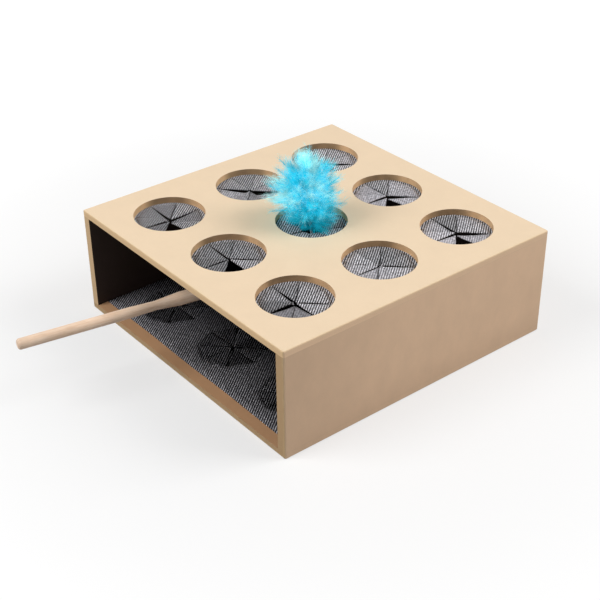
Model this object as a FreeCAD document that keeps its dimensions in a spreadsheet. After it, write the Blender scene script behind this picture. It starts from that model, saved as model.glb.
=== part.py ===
import FreeCAD, Part

import math
import os

import Sketcher

# A cat's hide and pounce game: a low open-fronted box of thin board, pierced above and below
# by a square of round holes. Dark woven cloth is glued inside over each set of holes and is
# slit like a star in every hole, so that a paw or a feather can push through. A wand reaches
# in at the front and holds a feather plume up through the middle hole.
#
# Origin: centre of the underside, on the surface that the box stands on. +Z is up, the open
# front looks along -Y, and +X is on the right of someone who looks in from the front.
# Lengths are millimetres and angles are degrees.

SIZES = [
    ("box_width", 250.0, "outside, left to right"),
    ("box_depth", 250.0, "outside, front to back"),
    ("box_height", 88.0, "outside"),
    ("board_thickness", 5.0, "top and bottom boards"),
    ("wall_thickness", 8.0, "side and back walls"),
    ("corner_round", 1.5, "upright outer corners"),
    ("edge_round", 1.0, "outer rims of the top and bottom boards"),
    ("hole_diameter", 55.0, "play holes"),
    ("hole_pitch", 77.0, "from one play hole to the next"),
    ("cloth_thickness", 0.6, "woven cloth"),
    ("cloth_setback", 9.0, "from the front rim to the cloth"),
    ("cloth_side_gap", 0.5, "from the cloth to a wall"),
    ("slit_width", 0.4, "between two flaps"),
    ("slit_margin", 1.5, "from the end of a slit to the rim of its hole"),
    ("flap_rim_margin", 0.6, "from a corner of the flaps' opening to the rim of its hole"),
    ("fold_gap", 0.5, "from a flap's fold to the cloth around it"),
    ("flap_tip", 1.2, "from a flap's tip to the centre of its star"),
    ("stem_opening", 16.0, "diameter that the stem holds open in the middle star"),
    ("wand_turn", 10.2, "turn of the wand to the left of straight in"),
    ("dowel_length", 210.0, "turned wooden stick"),
    ("head_diameter", 10.2, "thick end of the dowel, which holds the stem"),
    ("head_length", 87.0, "from the dowel's tip to the end of its thick part"),
    ("waist_diameter", 7.0, "dowel at its thinnest"),
    ("waist_run", 19.0, "from the thick part to the waist"),
    ("grip_diameter", 8.2, "dowel where it is held"),
    ("grip_run", 20.0, "from the waist to the grip"),
    ("dowel_round", 2.0, "rounding of both ends"),
    ("stem_diameter", 2.0, "wire stem"),
    ("stem_grip", 14.0, "length of the stem inside the dowel"),
    ("stem_reach", 4.0, "straight stem from the dowel's tip to the bend"),
    ("stem_bend", 20.0, "radius of the stem's bend"),
    ("stem_rise", 5.4, "straight stem from the bend up to the point where it flexes"),
    ("grip_gap", 0.05, "around the stem in its bore"),
    ("sway_drop", 3.7, "from the top cloth down to the point where the stem flexes"),
    ("sway_gap", 0.3, "between the two lengths of the stem where it flexes"),
    ("lean_angle", 5.0, "lean of the upper stem and the plume"),
    ("lean_heading", 231.5, "direction of that lean, counted from +X towards +Y"),
    ("plume_height", 68.0, "foot of the plume to its top"),
    ("plume_diameter", 52.0, "feathers at their widest, near the top"),
    ("plume_foot_diameter", 40.0, "rounding of the feathers near the foot"),
    ("plume_gap", 0.9, "from the cloth up to the plume's foot"),
    ("neck_drop", 1.2, "feathers that reach down through the middle star, below its cloth"),
    ("neck_gap", 0.3, "from those feathers to the rim of the stem's opening"),
    ("plume_cover", 10.0, "feathers above the end of the stem"),
    ("core_gap", 0.3, "around the stem inside the plume"),
]

# Each star has this many flaps, and a slit along every line between two of them.
STAR_POINTS = 8
FLAP_STEP = 360.0 / STAR_POINTS

# Places of the play holes, in steps of hole_pitch from the centre of the board.
STEPS = (-1, 0, 1)

# The stars whose flaps fold one by one: both side columns. Each star gives the rest angles
# of its flaps, from the one next to +X and then counter-clockwise. A negative angle hangs
# down. The stars of the middle column, where the wand goes, stay whole in their cloth.
FOLDING_STARS = {
    "left_front": (-1, -1, (-3, -12, -2, 2, -2, 2, -2, -22)),
    "left_middle": (-1, 0, (-14, -3, 2, -2, 2, -12, -3, -8)),
    "left_back": (-1, 1, (-10, -2, 2, -2, -2, 2, -3, -12)),
    "right_front": (1, -1, (-3, 2, -2, 2, -2, 3, -9, -12)),
    "right_middle": (1, 0, (-2, 2, -2, -2, 2, -2, -3, 2)),
    "right_back": (1, 1, (-9, 2, -2, 2, -2, -2, -3, -18)),
}

# Levels that several pieces share.
TOP_BOARD_LEVEL = "(Sizes.box_height - Sizes.board_thickness)"
TOP_CLOTH_LEVEL = f"({TOP_BOARD_LEVEL} - Sizes.cloth_thickness)"
SWAY_LEVEL = f"({TOP_CLOTH_LEVEL} - Sizes.sway_drop)"

# A star's opening is a regular polygon. Its flats carry the folds.
OPENING_RADIUS = "(Sizes.hole_diameter / 2 - Sizes.flap_rim_margin)"
FOLD_DISTANCE = f"({OPENING_RADIUS} * cos({FLAP_STEP / 2}) - Sizes.fold_gap)"
SLIT_REACH = "(Sizes.hole_diameter / 2 - Sizes.slit_margin)"

# The dowel's centre line: its level, and how far its tip stays from the upright stem.
STEM_RISE_LEVEL = f"({SWAY_LEVEL} - Sizes.stem_diameter / 2 - Sizes.sway_gap - Sizes.stem_rise)"
WAND_LEVEL = f"({STEM_RISE_LEVEL} - Sizes.stem_bend)"
TIP_DISTANCE = "(Sizes.stem_bend + Sizes.stem_reach)"

doc = FreeCAD.newDocument("cat_puzzle_game")
nodes = []


def write_sizes():
    """Puts every size into the sheet, with its name as the alias of the cell."""
    sheet = doc.addObject("Spreadsheet::Sheet", "Sizes")
    for row, (alias, value, note) in enumerate(SIZES, start=1):
        sheet.set(f"A{row}", alias.replace("_", " "))
        sheet.set(f"B{row}", str(value))
        sheet.setAlias(f"B{row}", alias)
        sheet.set(f"C{row}", note)
    doc.recompute()
    return sheet


def bind(thing, **properties):
    """Ties properties to expressions. A double underscore in a name stands for a dot."""
    for name, expression in properties.items():
        thing.setExpression(name.replace("__", "."), expression)


def place(thing, x="0", y="0", z="0"):
    """Ties the three coordinates of a placement to expressions."""
    bind(thing, Placement__Base__x=x, Placement__Base__y=y, Placement__Base__z=z)


def turn(thing, axis, angle):
    """Turns a placement about a fixed axis, by an angle given as an expression."""
    thing.Placement = FreeCAD.Placement(FreeCAD.Vector(), FreeCAD.Rotation(axis, 1.0))
    bind(thing, Placement__Rotation__Angle=angle)


def piece(kind, label):
    """Starts a piece that is written to a file of its own."""
    thing = doc.addObject(kind, label)
    thing.Label = label
    nodes.append(thing)
    return thing


def origin_plane(body, role):
    """Finds one of a body's own origin planes."""
    return next(f for f in body.Origin.OriginFeatures if f.Role == role)


def new_sketch(body, name, role):
    """Starts a sketch on one of a body's own origin planes."""
    sketch = body.newObject("Sketcher::SketchObject", name)
    sketch.AttachmentSupport = [(origin_plane(body, role), "")]
    sketch.MapMode = "FlatFace"
    return sketch


def draw_rectangle(sketch, width, depth):
    """Draws a rectangle around the sketch's origin, with its sides tied to expressions."""
    corners = [FreeCAD.Vector(x, y, 0) for x, y in ((-20, -10), (20, -10), (20, 10), (-20, 10))]
    sides = [Part.LineSegment(a, b) for a, b in zip(corners, corners[1:] + corners[:1])]
    sketch.addGeometry(sides, False)
    for side in range(4):
        sketch.addConstraint(Sketcher.Constraint("Coincident", side, 2, (side + 1) % 4, 1))
    for side in (0, 2):
        sketch.addConstraint(Sketcher.Constraint("Horizontal", side))
        sketch.addConstraint(Sketcher.Constraint("Vertical", side + 1))
    sketch.addConstraint(Sketcher.Constraint("Symmetric", 0, 1, 1, 2, -1, 1))
    across = sketch.addConstraint(Sketcher.Constraint("DistanceX", 0, 1, 0, 2, 40))
    along = sketch.addConstraint(Sketcher.Constraint("DistanceY", 1, 1, 1, 2, 20))
    sketch.renameConstraint(across, "Across")
    sketch.renameConstraint(along, "Along")
    bind(sketch, Constraints__Across=width, Constraints__Along=depth)


def centre_on_axis(sketch, circle, step, kind, axis):
    """Sets a circle's centre a number of pitches from the origin along one axis."""
    if step == 0:
        sketch.addConstraint(Sketcher.Constraint("PointOnObject", circle, 3, axis))
        return
    ends = (-1, 1, circle, 3) if step > 0 else (circle, 3, -1, 1)
    index = sketch.addConstraint(Sketcher.Constraint(kind, *ends, 30))
    name = f"{kind}{circle}"
    sketch.renameConstraint(index, name)
    sketch.setExpression(f"Constraints.{name}", f"{abs(step)} * Sizes.hole_pitch")


def draw_holes(sketch):
    """Draws the square of play holes around the sketch's origin."""
    first = None
    for i in STEPS:
        for j in STEPS:
            start = FreeCAD.Vector(30 * i, 30 * j, 0)
            circle = sketch.addGeometry(Part.Circle(start, FreeCAD.Vector(0, 0, 1), 5), False)
            centre_on_axis(sketch, circle, i, "DistanceX", -2)
            centre_on_axis(sketch, circle, j, "DistanceY", -1)
            if first is None:
                first = circle
                size = sketch.addConstraint(Sketcher.Constraint("Diameter", circle, 10))
                sketch.renameConstraint(size, "Bore")
                bind(sketch, Constraints__Bore="Sizes.hole_diameter")
            else:
                sketch.addConstraint(Sketcher.Constraint("Equal", first, circle))


def draw_circle(sketch, diameter):
    """Draws a circle at the sketch's origin."""
    sketch.addGeometry(Part.Circle(FreeCAD.Vector(), FreeCAD.Vector(0, 0, 1), 3), False)
    sketch.addConstraint(Sketcher.Constraint("Coincident", 0, 3, -1, 1))
    size = sketch.addConstraint(Sketcher.Constraint("Diameter", 0, 6))
    sketch.renameConstraint(size, "Across")
    bind(sketch, Constraints__Across=diameter)


def pad(body, sketch, length):
    feature = body.newObject("PartDesign::Pad", "Pad")
    feature.Profile = sketch
    bind(feature, Length=length)
    doc.recompute()
    return feature


def round_edges(body, base, wanted, radius):
    """Rounds the edges of a feature that pass a test."""
    names = [f"Edge{n}" for n, edge in enumerate(base.Shape.Edges, start=1) if wanted(edge)]
    feature = body.newObject("PartDesign::Fillet", "Fillet")
    feature.Base = (base, names)
    bind(feature, Radius=radius)
    doc.recompute()
    return feature


def is_upright(edge):
    box = edge.BoundBox
    return len(edge.Vertexes) == 2 and box.XLength + box.YLength < 1e-6 and box.ZLength > 1.0


def lies_at(level, inside):
    """Makes a test for the edges of an outline: flat, at a level and not round a hole."""
    def test(edge):
        box = edge.BoundBox
        flat = abs(box.ZMin - level) < 1e-6 and abs(box.ZMax - level) < 1e-6
        return flat and max(abs(box.Center.x) / inside.x, abs(box.Center.y) / inside.y) > 0.95
    return test


def make_board(label, outer_is_up, level):
    """The top or bottom board: a thin square panel with its play holes and rounded rim."""
    body = piece("PartDesign::Body", label)
    outline = new_sketch(body, "Outline", "XY_Plane")
    draw_rectangle(outline, "Sizes.box_width", "Sizes.box_depth")
    held = outline.GeometryCount
    draw_holes(outline)
    plate = pad(body, outline, "Sizes.board_thickness")
    if outline.GeometryCount - held != len(STEPS) ** 2:
        raise RuntimeError(f"{label} has lost a hole")
    corners = round_edges(body, plate, is_upright, "Sizes.corner_round")
    half = FreeCAD.Vector(sizes.box_width / 2, sizes.box_depth / 2, 0)
    rim_level = sizes.board_thickness if outer_is_up else 0.0
    round_edges(body, corners, lies_at(rim_level, half), "Sizes.edge_round")
    place(body, z=level)


def make_side_wall(label, side):
    """A side wall, as deep as the box, between the two boards."""
    body = piece("PartDesign::Body", label)
    foot = new_sketch(body, "Foot", "XY_Plane")
    draw_rectangle(foot, "Sizes.wall_thickness", "Sizes.box_depth")
    wall = pad(body, foot, "Sizes.box_height - 2 * Sizes.board_thickness")

    def is_outer_corner(edge):
        return is_upright(edge) and edge.BoundBox.Center.x * side > 0

    round_edges(body, wall, is_outer_corner, "Sizes.corner_round")
    place(body, x=f"{side} * (Sizes.box_width - Sizes.wall_thickness) / 2", z="Sizes.board_thickness")


def make_back_wall():
    """The back wall, between the side walls and between the two boards."""
    body = piece("PartDesign::Body", "back_wall")
    foot = new_sketch(body, "Foot", "XY_Plane")
    draw_rectangle(foot, "Sizes.box_width - 2 * Sizes.wall_thickness", "Sizes.wall_thickness")
    pad(body, foot, "Sizes.box_height - 2 * Sizes.board_thickness")
    place(body, y="(Sizes.box_depth - Sizes.wall_thickness) / 2", z="Sizes.board_thickness")


def cloth_cutter(kind, name, level):
    """Starts a tool that cuts right through a cloth, with its foot one thickness below."""
    tool = doc.addObject(kind, name)
    bind(tool, Height="3 * Sizes.cloth_thickness")
    bind(tool, Placement__Base__z=f"{level} - Sizes.cloth_thickness")
    return tool


def slits(name, i, j, level):
    """The slits of a whole star: narrow bars through its centre, one for each pair."""
    bars = []
    for number in range(STAR_POINTS // 2):
        angle = number * FLAP_STEP
        bar = cloth_cutter("Part::Box", f"{name}_slit_{number + 1}", level)
        bind(bar, Length=f"2 * {SLIT_REACH}", Width="Sizes.slit_width")
        bar.Placement.Rotation = FreeCAD.Rotation(FreeCAD.Vector(0, 0, 1), angle)
        ahead = f"{SLIT_REACH} * cos({angle}) - Sizes.slit_width / 2 * sin({angle})"
        aside = f"{SLIT_REACH} * sin({angle}) + Sizes.slit_width / 2 * cos({angle})"
        bind(bar, Placement__Base__x=f"{i} * Sizes.hole_pitch - ({ahead})")
        bind(bar, Placement__Base__y=f"{j} * Sizes.hole_pitch - ({aside})")
        bars.append(bar)
    return bars


def star_opening(name, i, j, level):
    """The opening of a star with separate flaps: a polygon with one flat for each fold."""
    tool = cloth_cutter("Part::Prism", f"{name}_opening", level)
    tool.Polygon = STAR_POINTS
    bind(tool, Circumradius=OPENING_RADIUS)
    bind(tool, Placement__Base__x=f"{i} * Sizes.hole_pitch")
    bind(tool, Placement__Base__y=f"{j} * Sizes.hole_pitch")
    return tool


def make_cloth(label, level, folding):
    """A sheet of cloth, glued to the inner face of a board, with a star in every hole."""
    blank = doc.addObject("Part::Box", f"{label}_blank")
    bind(
        blank,
        Length="Sizes.box_width - 2 * Sizes.wall_thickness - 2 * Sizes.cloth_side_gap",
        Width="Sizes.box_depth - Sizes.wall_thickness - Sizes.cloth_setback - Sizes.cloth_side_gap",
        Height="Sizes.cloth_thickness",
    )
    place(
        blank,
        x="Sizes.wall_thickness + Sizes.cloth_side_gap - Sizes.box_width / 2",
        y="Sizes.cloth_setback - Sizes.box_depth / 2",
        z=level,
    )
    open_places = {(i, j) for i, j, rest in FOLDING_STARS.values()} if folding else set()
    tools = []
    for i in STEPS:
        for j in STEPS:
            name = f"{label}_{i + 1}{j + 1}"
            if (i, j) in open_places:
                tools.append(star_opening(name, i, j, level))
            else:
                tools.extend(slits(name, i, j, level))
    if folding:
        ring = cloth_cutter("Part::Cylinder", f"{label}_stem_opening", level)
        bind(ring, Radius="Sizes.stem_opening / 2")
        tools.append(ring)
    cuts = doc.addObject("Part::MultiFuse", f"{label}_cuts")
    cuts.Shapes = tools
    sheet = piece("Part::Cut", label)
    sheet.Base = blank
    sheet.Tool = cuts


def make_flaps(star, i, j, rest_angles):
    """The flaps of one star of the top cloth. Each has its own origin on its fold, halfway
    through the cloth: +X runs along the fold and +Y to the tip."""
    def half_width(distance):
        edge = f"({distance}) * tan({FLAP_STEP / 2})"
        return f"({edge} - Sizes.slit_width / 2 / cos({FLAP_STEP / 2}))"

    root = half_width(FOLD_DISTANCE)
    tip = half_width("Sizes.flap_tip")
    for number, rest in enumerate(rest_angles, start=1):
        heading = (number - 0.5) * FLAP_STEP
        flap = piece("Part::Wedge", f"flap_{star}_{number}")
        bind(flap, Xmin=f"-{root}", Xmax=root, X2min=f"-{tip}", X2max=tip)
        bind(flap, Ymin="0", Ymax=f"{FOLD_DISTANCE} - Sizes.flap_tip")
        bind(flap, Zmin="-Sizes.cloth_thickness / 2", Zmax="Sizes.cloth_thickness / 2")
        bind(flap, Z2min="-Sizes.cloth_thickness / 2", Z2max="Sizes.cloth_thickness / 2")
        inwards = FreeCAD.Rotation(FreeCAD.Vector(0, 0, 1), heading + 90.0)
        hanging = FreeCAD.Rotation(FreeCAD.Vector(1, 0, 0), rest)
        flap.Placement = FreeCAD.Placement(FreeCAD.Vector(), inwards * hanging)
        place(
            flap,
            x=f"{i} * Sizes.hole_pitch + {FOLD_DISTANCE} * cos({heading})",
            y=f"{j} * Sizes.hole_pitch + {FOLD_DISTANCE} * sin({heading})",
            z=f"{TOP_CLOTH_LEVEL} + Sizes.cloth_thickness / 2",
        )


def draw_stick(sketch):
    """Draws half of the dowel's outline, from its tip at the sketch's origin round by its
    outer end: the grip, a shallow waist, and the thick head."""
    grip, waist, head = (
        size / 2 for size in (sizes.grip_diameter, sizes.waist_diameter, sizes.head_diameter)
    )
    head_end = -sizes.head_length
    neck = head_end - sizes.waist_run
    grip_end = neck - sizes.grip_run
    corners = [
        (0, 0),
        (0, -sizes.dowel_length),
        (grip, -sizes.dowel_length),
        (grip, grip_end),
        (waist, neck),
        (head, head_end),
        (head, 0),
    ]
    following = corners[1:] + corners[:1]
    for number, ends in enumerate(zip(corners, following)):
        start, end = (FreeCAD.Vector(x, y, 0) for x, y in ends)
        sketch.addGeometry(Part.LineSegment(start, end), False)
        if number:
            sketch.addConstraint(Sketcher.Constraint("Coincident", number - 1, 2, number, 1))
    last = len(corners) - 1
    for kind, *ends in (
        ("Coincident", last, 2, 0, 1),
        ("Coincident", 0, 1, -1, 1),
        ("Vertical", 0),
        ("Horizontal", 1),
        ("Vertical", 2),
        ("Vertical", 5),
        ("Horizontal", 6),
    ):
        sketch.addConstraint(Sketcher.Constraint(kind, *ends))
    measured = {
        "Length": ("DistanceY", 0, 2, 0, 1, sizes.dowel_length),
        "Grip": ("DistanceX", 1, 1, 1, 2, grip),
        "Waist": ("DistanceX", -1, 1, 4, 1, waist),
        "Head": ("DistanceX", 6, 2, 6, 1, head),
        "HeadLength": ("DistanceY", 5, 1, 5, 2, sizes.head_length),
        "WaistRun": ("DistanceY", 4, 1, 4, 2, sizes.waist_run),
        "GripRun": ("DistanceY", 3, 1, 3, 2, sizes.grip_run),
    }
    for name, (kind, *terms) in measured.items():
        sketch.renameConstraint(sketch.addConstraint(Sketcher.Constraint(kind, *terms)), name)
    bind(
        sketch,
        Constraints__Length="Sizes.dowel_length",
        Constraints__Grip="Sizes.grip_diameter / 2",
        Constraints__Waist="Sizes.waist_diameter / 2",
        Constraints__Head="Sizes.head_diameter / 2",
        Constraints__HeadLength="Sizes.head_length",
        Constraints__WaistRun="Sizes.waist_run",
        Constraints__GripRun="Sizes.grip_run",
    )


def make_dowel():
    """The wand's handle: a turned stick with a bore in its tip for the stem. Its own origin
    is at the centre of the tip, and it runs along -Y."""
    body = piece("PartDesign::Body", "wand_dowel")
    outline = new_sketch(body, "Outline", "XY_Plane")
    draw_stick(outline)
    stick = body.newObject("PartDesign::Revolution", "Stick")
    stick.Profile = outline
    stick.ReferenceAxis = (outline, ["V_Axis"])
    stick.Angle = 360
    doc.recompute()

    def is_end_rim(edge):
        box = edge.BoundBox
        ends = (0.0, -sizes.dowel_length)
        return box.YLength < 1e-6 and min(abs(box.YMin - end) for end in ends) < 1e-6

    rounded = round_edges(body, stick, is_end_rim, "Sizes.dowel_round")
    mouth = new_sketch(body, "Mouth", "XZ_Plane")
    draw_circle(mouth, "Sizes.stem_diameter + 2 * Sizes.grip_gap")
    bore = body.newObject("PartDesign::Pocket", "Bore")
    bore.Profile = mouth
    bore.Reversed = True
    bind(bore, Length="Sizes.stem_grip + Sizes.grip_gap")
    doc.recompute()
    if bore.Shape.Volume > rounded.Shape.Volume - 1.0:
        raise RuntimeError("the dowel's bore cuts nothing")
    turn(body, FreeCAD.Vector(0, 0, 1), "-Sizes.wand_turn")
    place(
        body,
        x=f"-{TIP_DISTANCE} * sin(Sizes.wand_turn)",
        y=f"-{TIP_DISTANCE} * cos(Sizes.wand_turn)",
        z=WAND_LEVEL,
    )


def make_lower_stem():
    """The stem from the dowel's bore, round its bend, up to the point where it flexes."""
    level_leg = doc.addObject("Part::Cylinder", "stem_level_leg")
    bind(level_leg, Radius="Sizes.stem_diameter / 2", Height="Sizes.stem_grip + Sizes.stem_reach")
    level_leg.Placement.Rotation = FreeCAD.Rotation(FreeCAD.Vector(1, 0, 0), 90)
    place(level_leg, y="-Sizes.stem_bend")

    bend = doc.addObject("Part::Torus", "stem_bend")
    bind(bend, Radius1="Sizes.stem_bend", Radius2="Sizes.stem_diameter / 2")
    bend.Angle3 = 90
    bend.Placement.Rotation = FreeCAD.Rotation(FreeCAD.Vector(1, 1, 1), 120) * FreeCAD.Rotation(
        FreeCAD.Vector(0, 0, 1), -90
    )
    place(bend, y="-Sizes.stem_bend", z="Sizes.stem_bend")

    upright_leg = doc.addObject("Part::Cylinder", "stem_upright_leg")
    bind(upright_leg, Radius="Sizes.stem_diameter / 2", Height="Sizes.stem_rise")
    place(upright_leg, z="Sizes.stem_bend")

    stem = piece("Part::MultiFuse", "stem_lower")
    stem.Shapes = [level_leg, bend, upright_leg]
    stem.Refine = True
    turn(stem, FreeCAD.Vector(0, 0, 1), "-Sizes.wand_turn")
    place(stem, z=WAND_LEVEL)


def lean(thing):
    """Sets a piece on the point where the stem flexes, leaning as the upper stem does."""
    heading = math.radians(sizes.lean_heading)
    axis = FreeCAD.Vector(-math.sin(heading), math.cos(heading), 0)
    turn(thing, axis, "Sizes.lean_angle")
    place(thing, z=SWAY_LEVEL)


PLUME_FOOT = f"({TOP_BOARD_LEVEL} - {SWAY_LEVEL} + Sizes.plume_gap)"
PLUME_TOP = f"({PLUME_FOOT} + Sizes.plume_height)"
NECK_RADIUS = "(sqrt((Sizes.stem_opening / 2) ^ 2 + Sizes.sway_drop ^ 2) - Sizes.neck_gap)"
STEM_TOP = f"({PLUME_TOP} - Sizes.plume_cover)"


def make_upper_stem():
    """The stem above the point where it flexes, with a round end at that point."""
    knuckle = doc.addObject("Part::Sphere", "stem_knuckle")
    bind(knuckle, Radius="Sizes.stem_diameter / 2")
    leg = doc.addObject("Part::Cylinder", "stem_plume_leg")
    bind(leg, Radius="Sizes.stem_diameter / 2", Height=STEM_TOP)
    stem = piece("Part::MultiFuse", "stem_upper")
    stem.Shapes = [knuckle, leg]
    stem.Refine = True
    lean(stem)


def draw_plume(sketch):
    """Draws half of the plume's outline around the point where the stem flexes: a flat foot,
    a neck that keeps its distance from the cloth as the plume sways, a round lower end, and
    a straight side that runs up to the large round top."""
    small, large = sizes.plume_foot_diameter / 2, sizes.plume_diameter / 2
    foot = sizes.board_thickness
    top = foot + sizes.plume_height
    neck = sizes.stem_opening / 2
    low_centre, top_centre = foot + small, top - large
    touch = -math.asin((large - small) / (top_centre - low_centre))
    meet = (neck ** 2 - small ** 2 + low_centre ** 2) / (2 * low_centre)
    lip = neck / 3

    def arc(radius, level, start, end):
        circle = Part.Circle(FreeCAD.Vector(0, level, 0), FreeCAD.Vector(0, 0, 1), radius)
        return Part.ArcOfCircle(circle, start, end)

    arcs = [
        arc(neck, 0, math.asin(lip / neck), math.asin(meet / neck)),
        arc(small, low_centre, math.asin((meet - low_centre) / small), touch),
        arc(large, top_centre, touch, math.pi / 2),
    ]
    start = FreeCAD.Vector(0, lip, 0)
    axis = Part.LineSegment(FreeCAD.Vector(0, top, 0), start)
    sole = Part.LineSegment(start, arcs[0].StartPoint)
    side = Part.LineSegment(arcs[1].EndPoint, arcs[2].StartPoint)
    sketch.addGeometry([axis, sole, arcs[0], arcs[1], side, arcs[2]], False)
    for kind, *ends in (
        ("Coincident", 0, 2, 1, 1),
        ("Coincident", 1, 2, 2, 1),
        ("Coincident", 2, 2, 3, 1),
        ("Tangent", 3, 2, 4, 1),
        ("Tangent", 4, 2, 5, 1),
        ("Coincident", 5, 2, 0, 1),
        ("Coincident", 2, 3, -1, 1),
        ("PointOnObject", 0, 1, -2),
        ("PointOnObject", 0, 2, -2),
        ("PointOnObject", 3, 3, -2),
        ("PointOnObject", 5, 3, -2),
        ("Horizontal", 1),
    ):
        sketch.addConstraint(Sketcher.Constraint(kind, *ends))
    measured = {
        "Lip": ("DistanceY", -1, 1, 0, 2, lip),
        "Low": ("DistanceY", -1, 1, 3, 3, low_centre),
        "Top": ("DistanceY", -1, 1, 0, 1, top),
        "Neck": ("Radius", 2, neck),
        "Small": ("Radius", 3, small),
        "Large": ("Radius", 5, large),
    }
    for name, (kind, *terms) in measured.items():
        sketch.renameConstraint(sketch.addConstraint(Sketcher.Constraint(kind, *terms)), name)
    bind(
        sketch,
        Constraints__Lip="Sizes.sway_drop - Sizes.neck_drop",
        Constraints__Low=f"{PLUME_FOOT} + Sizes.plume_foot_diameter / 2",
        Constraints__Top=PLUME_TOP,
        Constraints__Neck=NECK_RADIUS,
        Constraints__Small="Sizes.plume_foot_diameter / 2",
        Constraints__Large="Sizes.plume_diameter / 2",
    )


def make_plume():
    """The space that the feathers fill, with a blind bore for the stem."""
    body = piece("PartDesign::Body", "feather_plume")
    outline = new_sketch(body, "Outline", "XZ_Plane")
    draw_plume(outline)
    bunch = body.newObject("PartDesign::Revolution", "Bunch")
    bunch.Profile = outline
    bunch.ReferenceAxis = (outline, ["V_Axis"])
    bunch.Angle = 360
    doc.recompute()
    core = new_sketch(body, "Core", "XY_Plane")
    draw_circle(core, "Sizes.stem_diameter + 2 * Sizes.core_gap")
    bore = body.newObject("PartDesign::Pocket", "Bore")
    bore.Profile = core
    bore.Reversed = True
    bind(bore, Length=f"{STEM_TOP} + Sizes.core_gap")
    doc.recompute()
    if bore.Shape.Volume > bunch.Shape.Volume - 1.0:
        raise RuntimeError("the plume's bore cuts nothing")
    lean(body)


def check_document():
    """Stops at any object that failed and at any piece without one whole solid."""
    for thing in doc.Objects:
        if "Invalid" in thing.State or "Error" in thing.State:
            raise RuntimeError(f"{thing.Label} failed: {thing.State}")
    for thing in nodes:
        shape = thing.Shape
        if shape.isNull() or not shape.isValid() or len(shape.Solids) != 1:
            raise RuntimeError(f"{thing.Label} isn't one valid solid")


def write_pieces():
    os.makedirs("parts", exist_ok=True)
    for thing in nodes:
        thing.Shape.exportStep(f"parts/{thing.Label}.step")
        box = thing.Shape.BoundBox
        low = ", ".join(f"{value:.1f}" for value in (box.XMin, box.YMin, box.ZMin))
        high = ", ".join(f"{value:.1f}" for value in (box.XMax, box.YMax, box.ZMax))
        print(f"{thing.Label}: {thing.Shape.Volume:.0f} mm3 from ({low}) to ({high})")


sizes = write_sizes()
make_board("top_panel", True, TOP_BOARD_LEVEL)
make_board("bottom_panel", False, "0")
make_side_wall("left_wall", -1)
make_side_wall("right_wall", 1)
make_back_wall()
make_cloth("top_cloth", TOP_CLOTH_LEVEL, True)
make_cloth("bottom_cloth", "Sizes.board_thickness", False)
for star_name, (column, row_back, rest_angles) in FOLDING_STARS.items():
    make_flaps(star_name, column, row_back, rest_angles)
make_dowel()
make_lower_stem()
make_upper_stem()
make_plume()
doc.recompute()
check_document()
write_pieces()
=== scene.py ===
# %% [markdown]
# # A hide and pounce game for a cat
#
# A low box of pale fibreboard stands open at the front. Nine round holes go through its top
# and nine through its bottom, and dark net cloth is glued inside over each set. The cloth is
# slit like a star in every hole, so that a paw or a toy can push through. A wand comes in at
# the open front: a turned stick, a wire stem and a plume of blue down that stands up through
# the middle hole.
#
# The boards, the stick and the stem are already exact in the packed frame, so they keep their
# meshes and only get a finish. The cloth and the down are soft, so they are made here.

# %% Load the packed frame
import math
import random
from functools import partialmethod

import bpy
from mathutils import Matrix, Vector
from mathutils.geometry import delaunay_2d_cdt


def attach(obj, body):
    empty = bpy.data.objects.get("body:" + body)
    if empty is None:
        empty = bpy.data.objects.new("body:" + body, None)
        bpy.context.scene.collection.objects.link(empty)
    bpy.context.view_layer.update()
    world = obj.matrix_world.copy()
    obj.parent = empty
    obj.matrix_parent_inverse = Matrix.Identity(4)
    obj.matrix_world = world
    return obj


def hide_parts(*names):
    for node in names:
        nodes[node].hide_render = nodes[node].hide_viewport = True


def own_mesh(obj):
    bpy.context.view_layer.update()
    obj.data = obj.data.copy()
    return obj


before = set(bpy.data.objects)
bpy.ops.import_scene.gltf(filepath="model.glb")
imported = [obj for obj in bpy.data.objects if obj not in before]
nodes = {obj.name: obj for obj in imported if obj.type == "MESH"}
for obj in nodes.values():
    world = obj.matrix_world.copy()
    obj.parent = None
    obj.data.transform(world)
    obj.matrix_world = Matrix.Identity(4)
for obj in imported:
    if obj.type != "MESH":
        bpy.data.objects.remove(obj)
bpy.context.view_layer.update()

MM = 0.001
DEGREE = math.radians(1.0)
scene = bpy.context.scene

# %% [markdown]
# ## The camera
#
# The seven corners of the box that show, and the ellipses of its holes, fix the view: a long
# lens, a little above 30 degrees up, with a very small roll. A camera looks along its own
# negative Z, so its matrix is built from three directions: right, up and back.

# %% Set the camera
AZIMUTH = 51.62 * DEGREE
ELEVATION = 32.17 * DEGREE
ROLL = -0.64 * DEGREE
CAMERA_PLACE = Vector((0.64312, -0.52121, 0.53732))
LENS = 74.70
SENSOR = 36.0


def new_object(name, data):
    """Puts a new object into the scene."""
    made = bpy.data.objects.new(name, data)
    scene.collection.objects.link(made)
    return made


def view_matrix(azimuth, elevation, roll, place):
    """Turns three angles and a place into a camera's matrix."""
    level = Vector((math.cos(azimuth), math.sin(azimuth), 0.0))
    back = Vector((
        math.sin(azimuth) * math.cos(elevation),
        -math.cos(azimuth) * math.cos(elevation),
        math.sin(elevation),
    ))
    rise = back.cross(level)
    right = math.cos(roll) * level + math.sin(roll) * rise
    up = math.cos(roll) * rise - math.sin(roll) * level
    turned = Matrix((right, up, back)).transposed().to_4x4()
    turned.translation = place
    return turned


camera_data = bpy.data.cameras.new("camera")
camera_data.sensor_width = SENSOR
camera_data.lens = LENS
camera_data.clip_start = 0.01
camera = new_object("camera", camera_data)
camera.matrix_world = view_matrix(AZIMUTH, ELEVATION, ROLL, CAMERA_PLACE)
scene.camera = camera
scene.view_settings.view_transform = "Standard"
print(f"camera {CAMERA_PLACE.length:.3f} m from the centre of the box's underside")

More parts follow.
